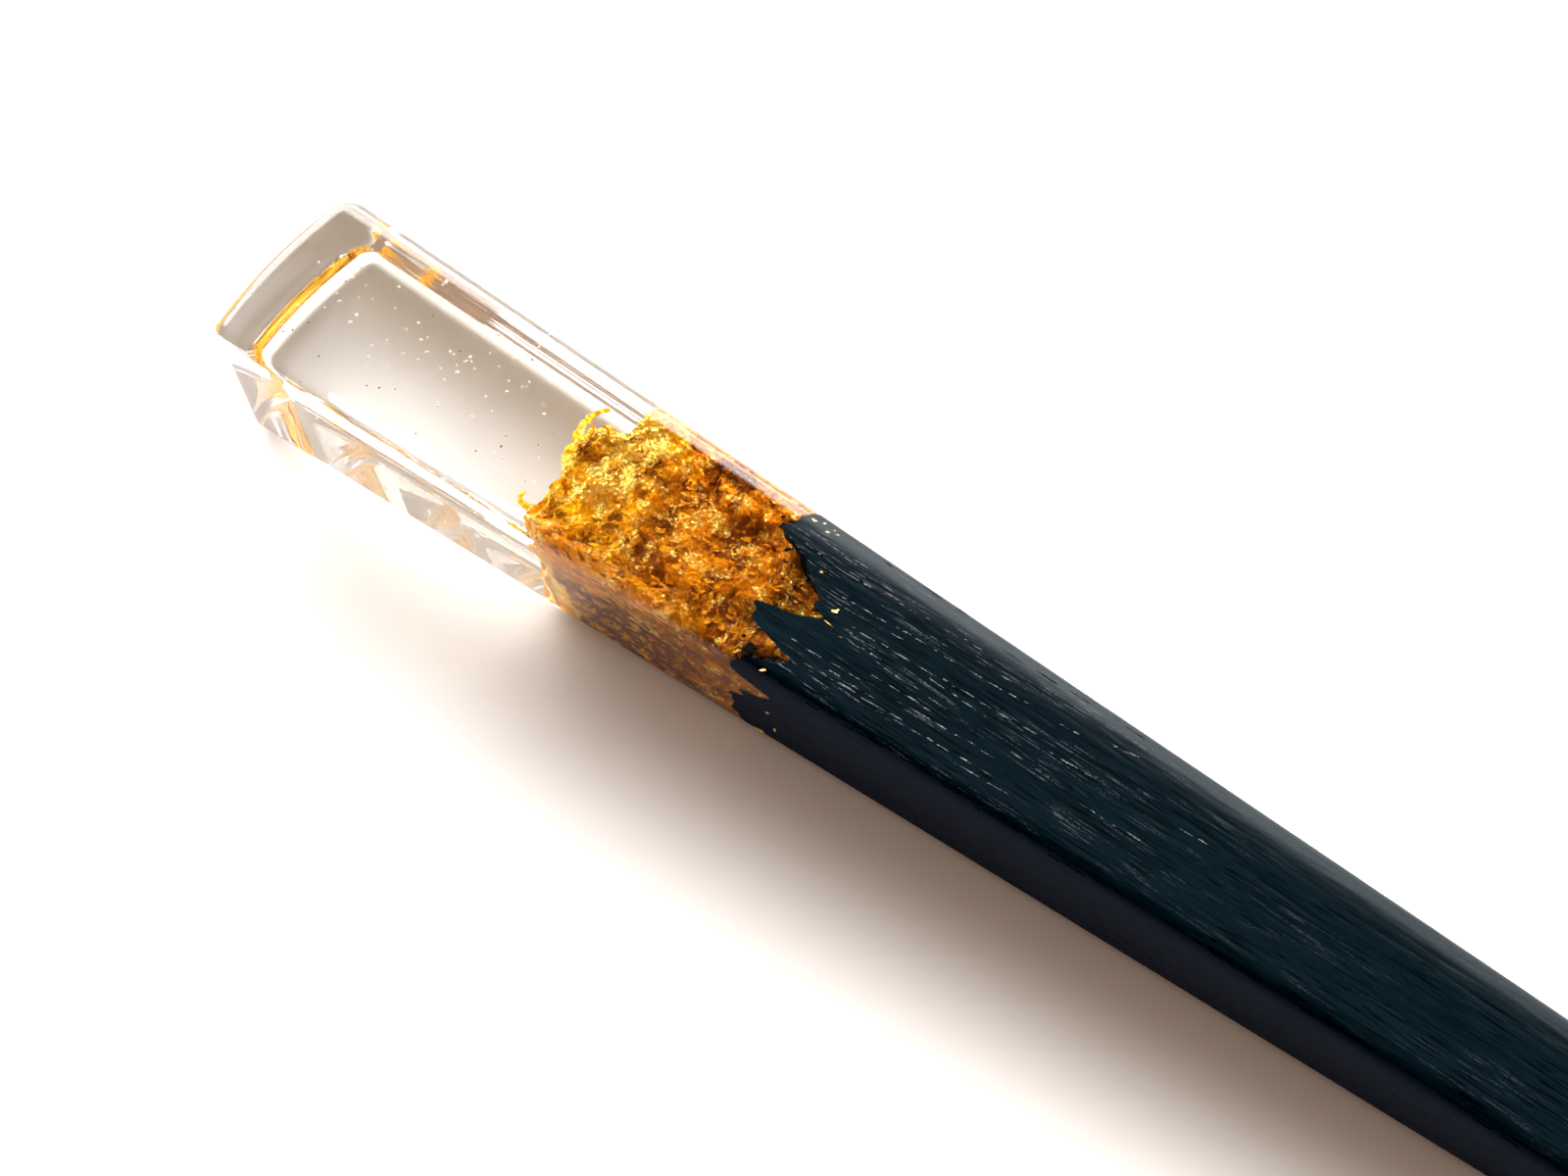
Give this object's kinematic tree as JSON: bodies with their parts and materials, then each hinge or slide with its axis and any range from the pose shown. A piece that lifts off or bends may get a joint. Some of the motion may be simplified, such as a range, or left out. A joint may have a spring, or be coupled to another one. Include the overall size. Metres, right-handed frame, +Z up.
{
  "type": "hair stick",
  "caption": "Tapered square hair stick of black open-pored wood, its broken gilded end cast into a clear resin head with rounded edges.",
  "frame": {"origin": "middle of the box round the stick, on the surface that it lies on", "axes": "+X along the stick from the head to the tip, +Y across its width, +Z up from the flat underside"},
  "size_m": [0.15, 0.012, 0.0099],
  "materials": {
    "wood": "black open-pored wood, oiled to a satin sheen",
    "gold": "crumpled bright metal leaf",
    "resin": "clear cast resin, polished"
  },
  "bodies": {
    "root": {"wood_shaft": "wood", "gold_leaf": "gold", "resin_head": "resin"}
  },
  "joints": []
}
